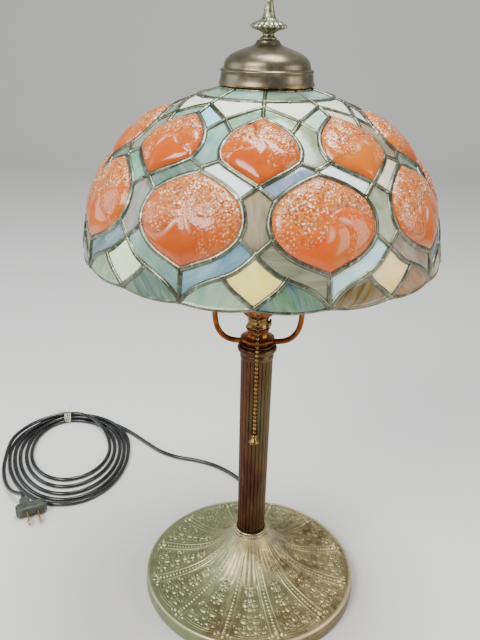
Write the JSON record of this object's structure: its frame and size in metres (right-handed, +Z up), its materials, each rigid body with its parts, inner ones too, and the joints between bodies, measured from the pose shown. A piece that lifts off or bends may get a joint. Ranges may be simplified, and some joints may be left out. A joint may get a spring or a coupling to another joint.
{
  "type": "leaded glass table lamp",
  "caption": "Table lamp with a leaded opal and amber glass dome shade, reeded column, harp, pull-chain socket, cast round base and mains cord.",
  "frame": {"origin": "middle of the underside of the felt pad, on the lamp's axis, where it stands on a table", "axes": "+Z up along the lamp's axis, -Y towards the front with the pull chain, +Y towards the back where the cord leaves"},
  "size_m": [0.4911, 0.4601, 0.5777],
  "materials": {
    "felt": "matt wool felt",
    "cast_base": "cast metal with an antique greenish-gold bronze finish",
    "iron": "raw grey iron",
    "rubber": "soft black rubber",
    "column_bronze": "red-brown bronze patina, rubbed on the reeds",
    "steel": "zinc-plated steel",
    "cable": "glossy black PVC",
    "copper_bronze": "copper-brown lacquered brass",
    "brass": "aged brass",
    "bakelite": "dark moulded insulator",
    "card": "brown insulating card",
    "bulb_cap": "bright rolled aluminium",
    "bulb_glass": "frosted white glass",
    "opal_teal": "streaky teal opal glass",
    "opal_cream": "ivory opal glass",
    "opal_sage": "streaky sage and pale blue opal glass",
    "opal_aqua": "streaky aqua opal glass",
    "amber": "pressed amber glass with hammered leaf lobes",
    "opal_silver": "silver-white and lavender opal glass",
    "opal_gray": "warm gray and green opal glass",
    "amber_deep": "pressed orange glass with hammered leaf lobes",
    "opal_blue": "steel-blue, mauve and mint opal glass",
    "opal_yellow": "yellow-cream opal glass",
    "opal_rose": "streaky blue, green and rose opal glass",
    "lead": "dark patinated solder with bright worn crests",
    "cap_bronze": "dark gray-brown bronze",
    "finial_brass": "greenish antique brass",
    "plug": "dark gray-green moulded plastic"
  },
  "bodies": {
    "stand": {"felt_pad": "felt", "base_weight": "iron", "base_casting": "cast_base", "cord_bushing": "rubber", "foot_ring": "column_bronze", "column": "column_bronze", "lamp_pipe": "steel", "pipe_washer": "steel", "pipe_nut": "steel", "inner_lead": "cable", "capital": "column_bronze", "harp_saddle": "copper_bronze", "harp_arm_left": "copper_bronze", "harp_arm_right": "copper_bronze", "harp_top": "copper_bronze", "neck_bell": "copper_bronze", "neck_spacer": "copper_bronze", "neck_screw": "brass", "socket_cap": "brass", "socket_shell": "brass", "socket_liner": "card", "socket_switch": "bakelite", "socket_screw_shell": "brass", "socket_contact": "bakelite", "chain_guide": "brass", "cord": "cable", "cord_coil": "cable", "plug_body": "plug", "plug_blades": "brass"},
    "shade": {"glass_top_strip": "opal_teal", "glass_cream_upper": "opal_cream", "glass_border_upper": "opal_sage", "glass_waist_upper": "opal_aqua", "tile_upper": "amber", "glass_border_middle": "opal_silver", "glass_waist_lower": "opal_gray", "tile_lower": "amber_deep", "glass_border_lower": "opal_blue", "glass_diamond": "opal_yellow", "glass_rim_corner": "opal_rose", "lead_came": "lead", "rim_wire": "lead", "aperture_ring": "brass", "spider": "brass", "vase_cap": "cap_bronze"},
    "finial": {"finial": "finial_brass"},
    "bulb": {"bulb_contact": "bulb_cap", "bulb_cap": "bulb_cap", "bulb_glass": "bulb_glass", "bulb_stem": "bulb_glass"},
    "switch_chain": {"chain_upper": "brass"},
    "hanging_chain": {"pull_chain": "brass", "pull_bell": "brass"}
  },
  "joints": [
    {"name": "shade_turn", "type": "hinge", "parent": "stand", "child": "shade", "pos_m": [0, 0, 0.5], "axis": [0, 0, 1], "continuous": true},
    {"name": "finial_turn", "type": "hinge", "parent": "shade", "child": "finial", "pos_m": [0, 0, 0.545], "axis": [0, 0, 1], "continuous": true},
    {"name": "bulb_turn", "type": "hinge", "parent": "stand", "child": "bulb", "pos_m": [0, 0, 0.345], "axis": [0, 0, 1], "continuous": true},
    {"name": "chain_pull", "type": "slide", "parent": "stand", "child": "switch_chain", "axis": [0, 0, -1], "range_m": [0, 0.01], "stiffness_N_per_m": 300},
    {"name": "chain_swing", "type": "hinge", "parent": "switch_chain", "child": "hanging_chain", "pos_m": [0, -0.0225, 0.3245], "axis": [0, 1, 0], "range_deg": [-25, 25]}
  ]
}
